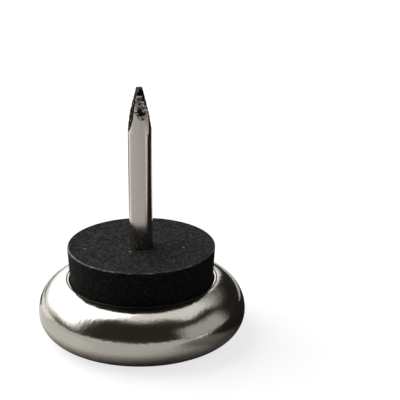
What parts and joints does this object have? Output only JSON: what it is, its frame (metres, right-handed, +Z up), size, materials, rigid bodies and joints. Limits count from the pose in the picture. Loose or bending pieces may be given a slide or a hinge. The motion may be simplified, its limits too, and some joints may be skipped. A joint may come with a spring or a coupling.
{
  "type": "nail-on furniture glide",
  "caption": "Nail-on furniture glide: a rolled, pressed steel cup with a flat foot holds a black rubber cushion, and a wire nail with a diamond point stands up through its middle.",
  "frame": {"origin": "centre of the flat underside, on the floor", "axes": "+Z up along the nail; one ridge of the nail's four-sided point faces -Y, otherwise the part is round about Z"},
  "size_m": [0.0222, 0.0222, 0.0275],
  "materials": {
    "nickel_plate": "bright nickel plate on pressed steel",
    "black_rubber": "matt moulded black rubber",
    "bright_wire": "bright drawn steel wire with rough cut facets at the point"
  },
  "bodies": {
    "root": {"steel_cup": "nickel_plate", "rubber_cushion": "black_rubber", "nail": "bright_wire"}
  },
  "joints": []
}
